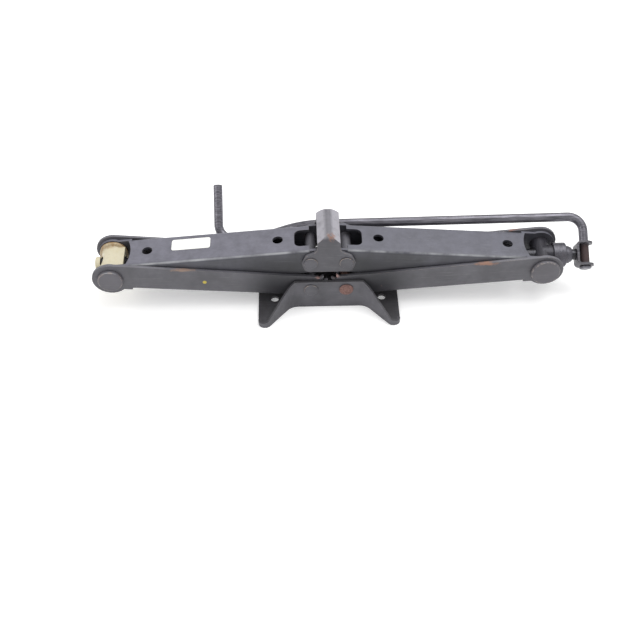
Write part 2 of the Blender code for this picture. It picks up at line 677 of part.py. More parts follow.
def bearing_stack():
    """Starts of the inner race, ball ring, outer race and collar, from the bearing's pivot."""
    inner_race = BEARING_BOSS_REACH + FIT_GAP
    balls = inner_race + RACE_THICKNESS + FIT_GAP
    outer_race = balls + 2 * BALL_RADIUS + FIT_GAP
    collar = outer_race + RACE_THICKNESS + FIT_GAP
    return inner_race, balls, outer_race, collar


def thrust_cup(name):
    """A turned cover over the thrust bearing, with a lip around the collar."""
    start = CUP_START
    end = CUP_START + CUP_LENGTH
    inner = CUP_RADIUS - CUP_WALL
    lip = COLLAR_RADIUS + FIT_GAP
    chamfer = 0.9 * MM
    profile = [(lip, end), (CUP_RADIUS - chamfer, end), (CUP_RADIUS, end - chamfer)]
    profile += [(CUP_RADIUS, start), (inner, start), (inner, end - CUP_WALL)]
    profile += [(lip, end - CUP_WALL)]
    place = Matrix.Translation((END_X, 0, AXIS_Z)) @ ALONG
    return turned(name, profile, place, closed=True, steps=32)


def race(name, start):
    """A flat bearing washer."""
    outer = CUP_RADIUS - CUP_WALL - FIT_GAP
    place = Matrix.Translation((END_X, 0, AXIS_Z)) @ ALONG
    return tube(name, SCREW_RADIUS + FIT_GAP, outer, start, start + RACE_THICKNESS, place)


def ball_ring(name, start):
    """Balls held in a thin cage, made one solid."""
    inner = SCREW_RADIUS + FIT_GAP
    outer = CUP_RADIUS - CUP_WALL - FIT_GAP
    place = Matrix.Translation((END_X, 0, AXIS_Z)) @ ALONG
    middle = start + BALL_RADIUS
    thin = 0.5 * MM
    cage = tube(name, inner + 0.2 * MM, outer - 0.2 * MM, middle - thin, middle + thin, place)
    balls = bmesh.new()
    track = (inner + outer) / 2
    for number in range(BALL_COUNT):
        turn = 2 * pi * number / BALL_COUNT
        spot = Matrix.Translation((track * cos(turn), track * sin(turn), middle))
        bmesh.ops.create_uvsphere(balls, u_segments=8, v_segments=6, radius=BALL_RADIUS, matrix=spot)
    mesh = bpy.data.meshes.new("balls")
    balls.to_mesh(mesh)
    balls.free()
    mesh.transform(place)
    return join(cage, solid("balls", mesh))


def lead_screw(name):
    """The screw: plain here at its thread's outer size, a shank, a neck and a riveted end."""
    neck_start = COLLAR_END
    web_end = FORK_WEB_START + FORK_SHEET
    tail = -2 * END_X - SCREW_TAIL
    chamfer = 1 * MM
    head_end = web_end + 3 * FIT_GAP
    head_radius = NECK_RADIUS + 1.4 * MM
    profile = [(0, head_end), (head_radius, head_end), (head_radius, web_end + FIT_GAP)]
    profile += [(NECK_RADIUS, web_end + FIT_GAP), (NECK_RADIUS, neck_start)]
    shoulder = end_cap_start() + FIT_GAP + chamfer
    profile += [(SCREW_RADIUS, neck_start), (SCREW_RADIUS, shoulder)]
    profile += [(SCREW_RADIUS - chamfer, shoulder - chamfer), (TAIL_SPIGOT_RADIUS, shoulder - chamfer)]
    profile += [(TAIL_SPIGOT_RADIUS, tail), (0, tail)]
    place = Matrix.Translation((END_X, 0, AXIS_Z)) @ ALONG
    return turned(name, profile, place)


def end_cap_start():
    """Where the cap on the screw's tail begins: just outside the nut's sleeve, from the bearing."""
    return -2 * END_X - SLEEVE_RADIUS - FIT_GAP


def end_cap(name):
    """A moulded cap pushed on the screw's tail, which stops the nut from running off."""
    start = end_cap_start()
    end = -2 * END_X - SCREW_TAIL - FIT_GAP - END_CAP_WALL
    inner = TAIL_SPIGOT_RADIUS + FIT_GAP
    chamfer = 0.8 * MM
    profile = [(inner, start), (END_CAP_RADIUS, start), (END_CAP_RADIUS, end + chamfer)]
    profile += [(END_CAP_RADIUS - chamfer, end), (0, end), (0, end + END_CAP_WALL)]
    profile += [(inner, end + END_CAP_WALL), (inner, start)]
    place = Matrix.Translation((END_X, 0, AXIS_Z)) @ ALONG
    return turned(name, profile, place)


def screw_collar(name, start):
    """The collar on the screw that presses on the thrust bearing."""
    inner = SCREW_RADIUS + FIT_GAP
    end = COLLAR_END
    slope = 3 * MM
    profile = [(inner, end), (COLLAR_RADIUS - slope / 2, end), (COLLAR_RADIUS, end - slope)]
    profile += [(COLLAR_RADIUS, start), (inner, start)]
    place = Matrix.Translation((END_X, 0, AXIS_Z)) @ ALONG
    return turned(name, profile, place, closed=True)


def crank_frame():
    """Origin where the crank's leg crosses the screw's axis, local Z along the leg, X kept."""
    lean = Matrix.Rotation(-CRANK_LEAN, 4, "X")
    return Matrix.Translation((END_X + CRANK_LEG_X, 0, AXIS_Z)) @ lean


def crank_fork(name):
    """A bent strip on the screw's end, with an ear above and below the crank's leg."""
    web = FORK_WEB_START - CRANK_LEG_X
    end = web + FORK_LENGTH
    outside = FORK_EAR_OFFSET + FORK_SHEET / 2
    inside = outside - FORK_SHEET
    outline = rounded(
        [
            (web, -outside, FORK_BEND_RADIUS),
            (end, -outside, 0),
            (end, -inside, 0),
            (web + FORK_SHEET, -inside, FORK_BEND_RADIUS - FORK_SHEET),
            (web + FORK_SHEET, inside, FORK_BEND_RADIUS - FORK_SHEET),
            (end, inside, 0),
            (end, outside, 0),
            (web, outside, FORK_BEND_RADIUS),
        ],
        5,
    )
    frame = crank_frame()
    body = prism(name, outline, -FORK_HALF_WIDTH, FORK_HALF_WIDTH, frame @ UPRIGHT)
    for side in (-1, 1):
        corner = [
            (end - FORK_HALF_WIDTH, side * FORK_HALF_WIDTH),
            *arc((end - FORK_HALF_WIDTH, 0), FORK_HALF_WIDTH, side * pi / 2, 0, 6)[1:],
            (end + FORK_HALF_WIDTH, 0),
            (end + FORK_HALF_WIDTH, side * 2 * FORK_HALF_WIDTH),
            (end - FORK_HALF_WIDTH, side * 2 * FORK_HALF_WIDTH),
        ]
        cut(body, prism("corner", corner, -FAR, FAR, frame))
    cut(body, cylinder("leg_hole", CRANK_RADIUS + FIT_GAP, -FAR, FAR, frame))
    neck = cylinder("neck_hole", NECK_RADIUS + FIT_GAP, -FAR, 0, frame @ ALONG)
    return cut(body, neck)


def smooth_path(corners, steps=5):
    """A route through corners of (point, radius), with each inner corner turned into an arc."""
    points = [corners[0][0]]
    for i in range(1, len(corners) - 1):
        here, radius = corners[i]
        back = (corners[i - 1][0] - here).normalized()
        ahead = (corners[i + 1][0] - here).normalized()
        half = acos(max(-1, min(1, back.dot(ahead)))) / 2
        centre = here + (back + ahead).normalized() * radius / sin(half)
        first = here + back * radius / tan(half) - centre
        last = here + ahead * radius / tan(half) - centre
        sweep = first.angle(last)
        for step in range(steps + 1):
            share = step / steps
            one = sin((1 - share) * sweep) / sin(sweep)
            two = sin(share * sweep) / sin(sweep)
            points.append(centre + first * one + last * two)
    points.append(corners[-1][0])
    return points


def crank_rod(name):
    """One bent round bar: the leg in the fork, the shaft along the jack's back and the grip."""
    leg_x = END_X + CRANK_LEG_X
    up = Vector((0, sin(CRANK_LEAN), cos(CRANK_LEAN)))
    on_axis = Vector((0, 0, AXIS_Z))
    low_end = FORK_EAR_OFFSET + FORK_SHEET / 2 + FIT_GAP + PEEN_HEIGHT
    bottom = on_axis + Vector((leg_x, 0, 0)) - up * low_end
    first = on_axis + Vector((leg_x, 0, 0)) + up * CRANK_OFFSET_RIGHT
    bend = on_axis + Vector((CRANK_BEND_X, 0, 0)) + up * CRANK_OFFSET_LEFT
    low = on_axis + Vector((CRANK_LOW_X, CRANK_LOW_Y, CRANK_LOW_RISE))
    corner = on_axis + Vector((GRIP_X, CRANK_LOW_Y, CRANK_LOW_RISE))
    end = corner + Vector((0, sin(GRIP_LEAN), cos(GRIP_LEAN))) * GRIP_LENGTH
    wide_bend = 6 * CRANK_BEND_RADIUS
    route = smooth_path(
        [
            (bottom, 0),
            (first, CRANK_BEND_RADIUS),
            (bend, wide_bend),
            (low, wide_bend),
            (corner, CRANK_BEND_RADIUS),
            (end, 0),
        ]
    )
    curve = bpy.data.curves.new(name, "CURVE")
    curve.dimensions = "3D"
    curve.bevel_depth = CRANK_RADIUS
    curve.bevel_resolution = 3
    curve.use_fill_caps = True
    spline = curve.splines.new("POLY")
    spline.points.add(len(route) - 1)
    for point, place in zip(spline.points, route):
        point.co = (*place, 1)
    rod = solid(name, closed_mesh(solid(name, curve), Matrix()))
    peen = cylinder("peen", PEEN_RADIUS, -low_end - 0.2 * MM, PEEN_HEIGHT - low_end, crank_frame(), 24)
    return join(rod, peen)


def label(name):
    """A thin blank label, in the frame of an upper arm."""
    half = LABEL_LENGTH / 2
    wide = LABEL_WIDTH / 2
    corners = [(-half, -wide, 2 * MM), (half, -wide, 2 * MM), (half, wide, 2 * MM)]
    corners.append((-half, wide, 2 * MM))
    low = UPPER_WEB_HEIGHT + LABEL_GAP
    place = Matrix.Translation((LABEL_PLACE, -LABEL_OFFSET, 0))
    return prism(name, rounded(corners, 3), low, low + LABEL_THICKNESS, place)


def build():
    clear_scene()
    pieces = new_collection("scissor_screw_jack")
    black = material("black_painted_steel", (0.03, 0.032, 0.036), 0.42, 0.0)
    worn = material("worn_steel", (0.32, 0.31, 0.31), 0.38, 0.9)
    rusty = material("rusty_steel", (0.26, 0.13, 0.08), 0.7, 0.5)
    steel = material("bright_steel", (0.42, 0.42, 0.43), 0.3, 1.0)
    greased = material("greased_steel", (0.12, 0.115, 0.11), 0.3, 0.9)
    plastic = material("cream_plastic", (0.72, 0.66, 0.5), 0.45, 0.0)
    paper = material("white_label", (0.85, 0.85, 0.85), 0.5, 0.0)

    def turn_y(angle):
        return Matrix.Rotation(angle, 4, "Y")

    flip = Matrix.Rotation(pi, 4, "Z")
    root = axis_empty("foot_origin", (0, 0, 0), pieces)
    lower = {}
    for side, word in ((-1, "left"), (1, "right")):
        place = (side * PIVOT_X, 0, FOOT_PIVOT_Z)
        lower[word] = axis_empty(word + "_lower_axis", place, pieces, root)
    outer = {}
    for side, word in ((-1, "left"), (1, "right")):
        outer[word] = axis_empty(word + "_upper_axis", (side * END_X, 0, AXIS_Z), pieces, lower[word])
    head_axis = axis_empty("head_axis", (-PIVOT_X, 0, HEAD_PIVOT_Z), pieces, outer["left"])
    nut_axis = axis_empty("nut_axis", (-END_X, 0, AXIS_Z), pieces, lower["left"])
    bearing_axis = axis_empty("bearing_axis", (END_X, 0, AXIS_Z), pieces, lower["right"])
    screw_axis = axis_empty("screw_axis", (END_X, 0, AXIS_Z), pieces, bearing_axis)
    leg_place = (END_X + CRANK_LEG_X, 0, AXIS_Z)
    crank_axis = axis_empty("crank_axis", leg_place, pieces, screw_axis)

    finish_piece(foot("base_foot"), pieces, black, root)
    for side, word in ((-1, "left"), (1, "right")):
        rivet = through_rivet(
            "base_rivet_" + word, side * PIVOT_X, FOOT_PIVOT_Z, FOOT_OUTER, FOOT_RIVET_HEAD_RADIUS
        )
        finish_piece(rivet, pieces, rusty if side == 1 else black, root)
        pin = through_rivet(
            "head_rivet_" + word, side * PIVOT_X, HEAD_PIVOT_Z, LOWER_HALF_WIDTH, HEAD_RIVET_HEAD_RADIUS
        )
        finish_piece(pin, pieces, black, head_axis)

        aside = flip if side == -1 else Matrix()
        tooth = side == 1
        low_place = Matrix.Translation((side * PIVOT_X, 0, FOOT_PIVOT_Z))
        low_arm = lower_arm(word + "_lower_arm", tooth)
        low_arm.data.transform(low_place @ turn_y(-side * FOLDED_ANGLE) @ aside)
        finish_piece(low_arm, pieces, black, lower[word])
        high_place = Matrix.Translation((side * PIVOT_X, 0, HEAD_PIVOT_Z))
        high_turn = high_place @ turn_y(side * FOLDED_ANGLE) @ aside
        high_arm = upper_arm(word + "_upper_arm", tooth)
        high_arm.data.transform(high_turn)
        finish_piece(high_arm, pieces, black, outer[word])
        if side == -1:
            sticker = label("blank_label")
            sticker.data.transform(high_turn)
            finish_piece(sticker, pieces, paper, outer[word])

    finish_piece(head("head_saddle"), pieces, black, head_axis)
    for side, word in ((-1, "front"), (1, "back")):
        nut_pin = disc_pivot("nut_pivot_" + word, -END_X, side, NUT_DISC_RADIUS)
        finish_piece(nut_pin, pieces, black, nut_axis)
        bearing_pin = disc_pivot("bearing_pivot_" + word, END_X, side, BEARING_DISC_RADIUS)
        finish_piece(bearing_pin, pieces, black, bearing_axis)
    finish_piece(nut_trunnion("nut_trunnion"), pieces, greased, nut_axis)
    finish_piece(nut_sleeve("nut_sleeve"), pieces, plastic, nut_axis)
    finish_piece(bearing_trunnion("bearing_trunnion"), pieces, black, bearing_axis)
    inner_race, balls, outer_race, collar = bearing_stack()
    finish_piece(thrust_cup("thrust_cup"), pieces, black, bearing_axis)
    finish_piece(race("thrust_race_inner", inner_race), pieces, steel, bearing_axis)
    finish_piece(ball_ring("thrust_ball_ring", balls), pieces, steel, bearing_axis)
    finish_piece(race("thrust_race_outer", outer_race), pieces, steel, screw_axis)
    finish_piece(lead_screw("lead_screw"), pieces, greased, screw_axis)
    finish_piece(screw_collar("screw_collar", collar), pieces, black, screw_axis)
    finish_piece(end_cap("screw_end_cap"), pieces, plastic, screw_axis)
    finish_piece(crank_fork("crank_fork"), pieces, worn, screw_axis)
    finish_piece(crank_rod("crank_rod"), pieces, worn, crank_axis)


build()
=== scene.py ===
# Folded scissor screw jack on a pale studio floor.
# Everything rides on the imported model's bodies, in metres, with +X towards the crank fork.
import json
import bmesh
import bpy
from functools import partial
from math import acos, cos, pi, radians, sin, tan
from mathutils import Matrix, Vector


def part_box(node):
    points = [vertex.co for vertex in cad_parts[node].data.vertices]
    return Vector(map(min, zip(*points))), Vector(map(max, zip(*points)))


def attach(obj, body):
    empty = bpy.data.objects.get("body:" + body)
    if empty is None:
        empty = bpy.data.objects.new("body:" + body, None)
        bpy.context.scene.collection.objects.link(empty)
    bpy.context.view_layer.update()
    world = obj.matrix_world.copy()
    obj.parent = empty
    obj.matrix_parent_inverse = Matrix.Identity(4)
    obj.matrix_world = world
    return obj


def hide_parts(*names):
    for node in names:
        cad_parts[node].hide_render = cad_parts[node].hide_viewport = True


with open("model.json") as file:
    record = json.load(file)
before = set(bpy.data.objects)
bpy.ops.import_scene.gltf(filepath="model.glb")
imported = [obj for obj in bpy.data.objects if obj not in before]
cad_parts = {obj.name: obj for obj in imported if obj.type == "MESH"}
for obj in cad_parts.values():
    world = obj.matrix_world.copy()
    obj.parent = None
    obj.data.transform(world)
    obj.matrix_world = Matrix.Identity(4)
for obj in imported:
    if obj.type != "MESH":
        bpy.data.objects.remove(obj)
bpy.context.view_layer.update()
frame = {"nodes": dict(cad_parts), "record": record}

mm = 0.001
record = frame["record"]
bodyOfNode = {node: body for body, nodes in record["behaviour"]["bodies"].items() for node in nodes}
jointPlace = {joint["name"]: Vector(joint["pos_m"]) for joint in record["behaviour"]["joints"]}
jointAxis = {joint["name"]: Vector(joint["axis"]) for joint in record["behaviour"]["joints"]}


def linearColour(code):  # sRGB hex to linear RGBA
    parts = [int(code[i:i + 2], 16) / 255 for i in (1, 3, 5)]
    return (*[p / 12.92 if p <= 0.04045 else ((p + 0.055) / 1.055) ** 2.4 for p in parts], 1)


def addNode(tree, kind, sockets=None, **settings):
    # sockets maps an input's name or number to a value, or to the output linked into it
    node = tree.nodes.new("ShaderNode" + kind)
    for name, value in settings.items():
        setattr(node, name, value)
    for name, value in (sockets or {}).items():
        if isinstance(value, bpy.types.NodeSocket):
            tree.links.new(value, node.inputs[name])
        else:
            node.inputs[name].default_value = value
    return node


def newMaterial(name, roughness, metallic=0.0):
    made = bpy.data.materials.new(name)
    made.use_nodes = True
    shader = made.node_tree.nodes["Principled BSDF"]
    shader.inputs["Roughness"].default_value = roughness
    shader.inputs["Metallic"].default_value = metallic
    return made, shader


paintFinish = {
    "grain": 0.9 * mm,  # orange peel of sprayed paint
    "mottle": 26 * mm,  # patches of thicker and thinner paint
    "dustAndShade": 9 * mm,
    "scuffLength": 22 * mm,
    "scuffWidth": 0.7 * mm,  # drawn wider than a real scratch, so that it shows
    "chip": 3.2 * mm,
    "scuffed": "#a3a5a6",
    "bendRubAndHighlight": "#b9bbbc",
    "bareChip": "#b0aca8",
    "brownChip": "#8a6a55",
}


def satinPaint(name, dark, light, dustAndShadeColour, dustAndShadeAmount=0.5, chipsAndHighlight=0.5, paintedShades=(), rustSpots=(),
               paintDabs=(), bareCap=None):
    # Sprayed satin enamel on pressed steel: soft sheen, grey dust on top, rubbed bends with a painted
    # highlight, chipped edges; on some parts painted shade as well
    made, shader = newMaterial(name, 0.45)
    tree = made.node_tree
    add = partial(addNode, tree)
    spot = add("TexCoord")
    place, normal = spot.outputs["Object"], spot.outputs["Normal"]
    mottle = add("TexNoise", {"Vector": place, "Scale": 1 / paintFinish["mottle"], "Detail": 4.0,
                              "Roughness": 0.6})
    thick = add("MapRange", {"Value": mottle.outputs["Fac"], "From Min": 0.36, "From Max": 0.64})
    colour = add("Mix", {0: thick.outputs[0], 6: linearColour(dark), 7: linearColour(light)},
                 data_type="RGBA")

    # dust lies on what faces up; on the foot its colour is darker than the paint, a painted shade
    facing = add("SeparateXYZ", {0: normal})
    upward = add("MapRange", {"Value": facing.outputs["Z"], "From Min": 0.3, "From Max": 0.95,
                              "To Max": dustAndShadeAmount})
    dustNoise = add("TexNoise", {"Vector": place, "Scale": 1 / paintFinish["dustAndShade"], "Detail": 7.0,
                                 "Roughness": 0.68})
    dustMask = add("MapRange", {"Value": dustNoise.outputs["Fac"], "From Min": 0.34, "From Max": 0.7,
                                "To Min": 0.5})
    dustAndShade = add("Math", {0: upward.outputs[0], 1: dustMask.outputs[0]}, operation="MULTIPLY")
    colour = add("Mix", {0: dustAndShade.outputs[0], 6: colour.outputs[2], 7: linearColour(dustAndShadeColour)},
                 data_type="RGBA")

    # rubbed streaks along the arms
    along, across = 1 / paintFinish["scuffLength"], 1 / paintFinish["scuffWidth"]
    stretch = add("Mapping", {"Vector": place, "Rotation": (0, radians(2), radians(4)),
                              "Scale": (along, across, across)})
    streak = add("TexNoise", {"Vector": stretch.outputs[0], "Scale": 1.0, "Detail": 3.0, "Roughness": 0.55})
    scuff = add("MapRange", {"Value": streak.outputs["Fac"], "From Min": 0.6, "From Max": 0.78,
                             "To Max": 0.2})
    colour = add("Mix", {0: scuff.outputs[0], 6: colour.outputs[2],
                         7: linearColour(paintFinish["scuffed"])}, data_type="RGBA")

    # the bends are lighter, partly rubbed paint and partly a painted highlight: there the normal lies
    # between up and sideways
    sideways = add("Math", {0: facing.outputs["Y"]}, operation="ABSOLUTE")
    upright = add("Math", {0: facing.outputs["Z"]}, operation="ABSOLUTE")
    between = add("Math", {0: sideways.outputs[0], 1: upright.outputs[0]}, operation="MULTIPLY")
    bendRubAndHighlightMask = add("MapRange", {"Value": between.outputs[0], "From Min": 0.38, "From Max": 0.5,
                                "To Max": 0.6})
    rubbed = add("Math", {0: bendRubAndHighlightMask.outputs[0], 1: thick.outputs[0]}, operation="MULTIPLY")
    colour = add("Mix", {0: rubbed.outputs[0], 6: colour.outputs[2],
                         7: linearColour(paintFinish["bendRubAndHighlight"])}, data_type="RGBA")

    if bareCap:  # the top that meets the car is rubbed to bare steel; along its ridge the paint stays dark, a painted dark reflection stripe
        where = add("SeparateXYZ", {0: place})
        high = add("MapRange", {"Value": where.outputs["Z"], "From Min": bareCap["from"],
                                "From Max": bareCap["to"]})
        flat = add("MapRange", {"Value": facing.outputs["Z"], "From Min": 0.35, "From Max": 0.7})
        worn = add("Math", {0: high.outputs[0], 1: flat.outputs[0]}, operation="MULTIPLY")
        fromRidge = add("Math", {0: where.outputs["X"]}, operation="ABSOLUTE")
        awayFromRidgeReflection = add("MapRange", {"Value": fromRidge.outputs[0], "From Min": 0.5 * bareCap["ridge"],
                                    "From Max": 1.4 * bareCap["ridge"], "To Min": 0.25, "To Max": 1.0})
        worn = add("Math", {0: worn.outputs[0], 1: awayFromRidgeReflection.outputs[0]}, operation="MULTIPLY")
        patchy = add("MapRange", {"Value": dustNoise.outputs["Fac"], "From Min": 0.34, "From Max": 0.5,
                                  "To Min": 0.55})
        worn = add("Math", {0: worn.outputs[0], 1: patchy.outputs[0]}, operation="MULTIPLY")
        colour = add("Mix", {0: worn.outputs[0], 6: colour.outputs[2],
                             7: linearColour(bareCap["steel"])}, data_type="RGBA")

    # chips through the paint on the sharp edges, bare steel already browned; on the rivet heads they also
    # paint a highlight ring round the rim
    edge = add("Attribute", attribute_name="edgeWear")
    chipNoise = add("TexNoise", {"Vector": place, "Scale": 1 / paintFinish["chip"], "Detail": 5.0,
                                 "Roughness": 0.7})
    chipMask = add("MapRange", {"Value": chipNoise.outputs["Fac"], "From Min": 0.46, "From Max": 0.58,
                                "To Max": chipsAndHighlight})
    chip = add("Math", {0: edge.outputs["Fac"], 1: chipMask.outputs[0]}, operation="MULTIPLY")
    brown = add("Mix", {0: mottle.outputs["Fac"], 6: linearColour(paintFinish["bareChip"]),
                        7: linearColour(paintFinish["brownChip"])}, data_type="RGBA")
    colour = add("Mix", {0: chip.outputs[0], 6: colour.outputs[2], 7: brown.outputs[2]}, data_type="RGBA")
    rough = add("MapRange", {"Value": dustMask.outputs[0], "To Min": 0.36, "To Max": 0.58})
    roughness = rough.outputs[0]

    def awayFrom(centre, reach):  # 0 at the centre and 1 at the half sizes along X, Y and Z
        offset = add("VectorMath", {0: place, 1: centre}, operation="SUBTRACT")
        shares = add("VectorMath", {0: offset.outputs[0], 1: reach}, operation="DIVIDE")
        return add("VectorMath", {0: shares.outputs[0]}, operation="LENGTH").outputs["Value"]

    for centre, reach, shade in paintedShades:  # painted shade, darkest at its centre and fading out without an edge
        film = add("MapRange", {"Value": awayFrom(centre, reach), "From Min": 1.0, "From Max": 0.15,
                                "To Max": 0.8}, interpolation_type="SMOOTHSTEP")
        colour = add("Mix", {0: film.outputs[0], 6: colour.outputs[2], 7: linearColour(shade)},
                     data_type="RGBA")
    for centre, reach, shade in rustSpots:
        near = add("MapRange", {"Value": awayFrom(centre, reach), "To Min": 0.75, "To Max": 0.0})
        spread = add("Math", {0: near.outputs[0], 1: chipNoise.outputs["Fac"]}, operation="ADD")
        rust = add("MapRange", {"Value": spread.outputs[0], "From Min": 0.72, "From Max": 1.0,
                                "To Max": 0.85})
        colour = add("Mix", {0: rust.outputs[0], 6: colour.outputs[2], 7: linearColour(shade)},
                     data_type="RGBA")
        rusted = add("Mix", {0: rust.outputs[0], 2: roughness, 3: 0.85})
        roughness = rusted.outputs[0]
    for centre, radius, shade in paintDabs:
        away = add("VectorMath", {0: place, 1: centre}, operation="DISTANCE")
        dab = add("MapRange", {"Value": away.outputs["Value"], "From Min": radius,
                               "From Max": 0.7 * radius})
        colour = add("Mix", {0: dab.outputs[0], 6: colour.outputs[2], 7: linearColour(shade)},
                     data_type="RGBA")

    peel = add("TexNoise", {"Vector": place, "Scale": 1 / paintFinish["grain"], "Detail": 3.0})
    height = add("Math", {0: peel.outputs["Fac"], 1: chip.outputs[0]}, operation="SUBTRACT")
    bump = add("Bump", {"Strength": 0.12, "Distance": 0.1 * mm, "Height": height.outputs[0]})
    tree.links.new(colour.outputs[2], shader.inputs["Base Color"])
    tree.links.new(roughness, shader.inputs["Roughness"])
    tree.links.new(bump.outputs[0], shader.inputs["Normal"])
    return made


steelFinish = {
    "drawLine": 1.2 * mm,  # coarser than real draw lines, so that they show
    "oxidePatch": 7 * mm,
    "fresh": "#291f22",  # the oxide's two shades
    "old": "#4e3b39",
}


def drawnSteel(name, dark, light, roughness, metallic, rustAmount, drawAlong=(1 / 14, 1, 1),
               rustPlace=None):
    # Drawn or turned mild steel: fine lines along the draw, dull brown oxide in patches
    made, shader = newMaterial(name, roughness, metallic)
    tree = made.node_tree
    add = partial(addNode, tree)
    place = add("TexCoord").outputs["Object"]
    lines = add("Mapping", {"Vector": place, "Scale": drawAlong})
    drawn = add("TexNoise", {"Vector": lines.outputs[0], "Scale": 1 / steelFinish["drawLine"],
                             "Detail": 4.0, "Roughness": 0.65})
    patch = add("TexNoise", {"Vector": place, "Scale": 1 / steelFinish["oxidePatch"],
                             "Detail": 6.0, "Roughness": 0.65})
    tone = add("MapRange", {"Value": drawn.outputs["Fac"], "From Min": 0.32, "From Max": 0.68})
    colour = add("Mix", {0: tone.outputs[0], 6: linearColour(dark), 7: linearColour(light)},
                 data_type="RGBA")
    rust = add("MapRange", {"Value": patch.outputs["Fac"], "From Min": 0.5, "From Max": 0.66,
                            "To Max": rustAmount})
    mask = rust.outputs[0]
    if rustPlace:
        centre, radius = rustPlace
        away = add("VectorMath", {0: place, 1: centre}, operation="DISTANCE")
        near = add("MapRange", {"Value": away.outputs["Value"], "From Min": 0.6 * radius,
                                "From Max": radius, "To Min": 0.95, "To Max": 0.0})
        joined = add("Math", {0: mask, 1: near.outputs[0]}, operation="MAXIMUM")
        mask = joined.outputs[0]
    shades = add("Mix", {0: patch.outputs["Fac"], 6: linearColour(steelFinish["fresh"]),
                         7: linearColour(steelFinish["old"])}, data_type="RGBA")
    colour = add("Mix", {0: mask, 6: colour.outputs[2], 7: shades.outputs[2]}, data_type="RGBA")
    dull = add("Mix", {0: mask, 2: roughness, 3: 0.78})
    metal = add("Mix", {0: mask, 2: metallic, 3: 0.15})
    bump = add("Bump", {"Strength": 0.15, "Distance": 0.1 * mm, "Height": drawn.outputs["Fac"]})
    tree.links.new(colour.outputs[2], shader.inputs["Base Color"])
    tree.links.new(dull.outputs[0], shader.inputs["Roughness"])
    tree.links.new(metal.outputs[0], shader.inputs["Metallic"])
    tree.links.new(bump.outputs[0], shader.inputs["Normal"])
    return made


nylonFinish = {
    "cloud": 6 * mm,  # faint mottling of old nylon
    "grain": 0.8 * mm,
    "stainReach": 7 * mm,  # from the flange
    "shade": "#bbb193",
    "tint": "#d0cab4",
    "stain": "#8a6536",
}


def creamNylon(name, flangeY):
    # Moulded nylon: warm cream, slightly waxy, stained gold-brown by old grease near the flanges
    made, shader = newMaterial(name, 0.42)
    tree = made.node_tree
    add = partial(addNode, tree)
    place = add("TexCoord").outputs["Object"]
    across = add("SeparateXYZ", {0: place})
    cloud = add("TexNoise", {"Vector": place, "Scale": 1 / nylonFinish["cloud"],
                             "Detail": 5.0, "Roughness": 0.6})
    colour = add("Mix", {0: cloud.outputs["Fac"], 6: linearColour(nylonFinish["shade"]),
                         7: linearColour(nylonFinish["tint"])}, data_type="RGBA")
    rim = add("MapRange", {"Value": across.outputs["Y"], "From Min": flangeY - nylonFinish["stainReach"],
                           "From Max": flangeY, "To Max": 0.5})
    spread = add("Math", {0: rim.outputs[0], 1: cloud.outputs["Fac"]}, operation="ADD")
    stain = add("MapRange", {"Value": spread.outputs[0], "From Min": 0.62, "From Max": 0.95,
                             "To Max": 0.85})
    colour = add("Mix", {0: stain.outputs[0], 6: colour.outputs[2],
                         7: linearColour(nylonFinish["stain"])}, data_type="RGBA")
    fine = add("TexNoise", {"Vector": place, "Scale": 1 / nylonFinish["grain"], "Detail": 2.0})
    bump = add("Bump", {"Strength": 0.08, "Distance": 0.1 * mm, "Height": fine.outputs["Fac"]})
    shader.inputs["Subsurface Weight"].default_value = 0.08
    shader.inputs["Subsurface Radius"].default_value = (2 * mm, 1.6 * mm, 1 * mm)
    tree.links.new(colour.outputs[2], shader.inputs["Base Color"])
    tree.links.new(bump.outputs[0], shader.inputs["Normal"])
    return made


vinylFinish = {"grime": 5 * mm, "film": "#eeeeea", "rubbed": "#b5b3ac"}


def vinylLabel(name):
    # Blank white vinyl film, a little grey where it has been rubbed
    made, shader = newMaterial(name, 0.38)
    tree = made.node_tree
    add = partial(addNode, tree)
    place = add("TexCoord").outputs["Object"]
    grime = add("TexNoise", {"Vector": place, "Scale": 1 / vinylFinish["grime"],
                             "Detail": 6.0, "Roughness": 0.7})
    mask = add("MapRange", {"Value": grime.outputs["Fac"], "From Min": 0.5, "From Max": 0.75,
                            "To Max": 0.5})
    colour = add("Mix", {0: mask.outputs[0], 6: linearColour(vinylFinish["film"]),
                         7: linearColour(vinylFinish["rubbed"])}, data_type="RGBA")
    bump = add("Bump", {"Strength": 0.05, "Distance": 0.1 * mm, "Height": grime.outputs["Fac"]})
    tree.links.new(colour.outputs[2], shader.inputs["Base Color"])
    tree.links.new(bump.outputs[0], shader.inputs["Normal"])
    return made


def finishMesh(name, shape, material, body, nodes, sharp=32):
    mesh = bpy.data.meshes.new(name)
    bmesh.ops.recalc_face_normals(shape, faces=shape.faces)
    shape.to_mesh(mesh)
    shape.free()
    mesh.shade_smooth()
    mesh.set_sharp_from_angle(angle=radians(sharp))
    mesh.materials.append(material)
    piece = bpy.data.objects.new(name, mesh)
    bpy.context.scene.collection.objects.link(piece)
    # large faces stay flat beside their rounded edges
    even = piece.modifiers.new("flatFaces", "WEIGHTED_NORMAL")
    even.keep_sharp = True
    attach(piece, body)
    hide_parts(*nodes)
    return piece


def softened(node, material, edge=0.35 * mm, sharpFrom=28):
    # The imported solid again, with flat faces merged and its sharp edges broken by a small round
    shape = bmesh.new()
    shape.from_mesh(frame["nodes"][node].data)
    bmesh.ops.remove_doubles(shape, verts=shape.verts, dist=0.002 * mm)
    bmesh.ops.dissolve_limit(shape, angle_limit=radians(1), verts=shape.verts, edges=shape.edges)
    wear = shape.loops.layers.float.new("edgeWear")
    sharp = [e for e in shape.edges if len(e.link_faces) == 2 and e.calc_face_angle(0) > radians(sharpFrom)]
    rounded = bmesh.ops.bevel(shape, geom=sharp, offset=edge, offset_type="OFFSET", affect="EDGES",
                              segments=2, profile=0.5, material=-1, clamp_overlap=True)
    for face in rounded["faces"]:
        for loop in face.loops:
            loop[wear] = 1.0
    return finishMesh(node + "Look", shape, material, bodyOfNode[node], [node], 50)


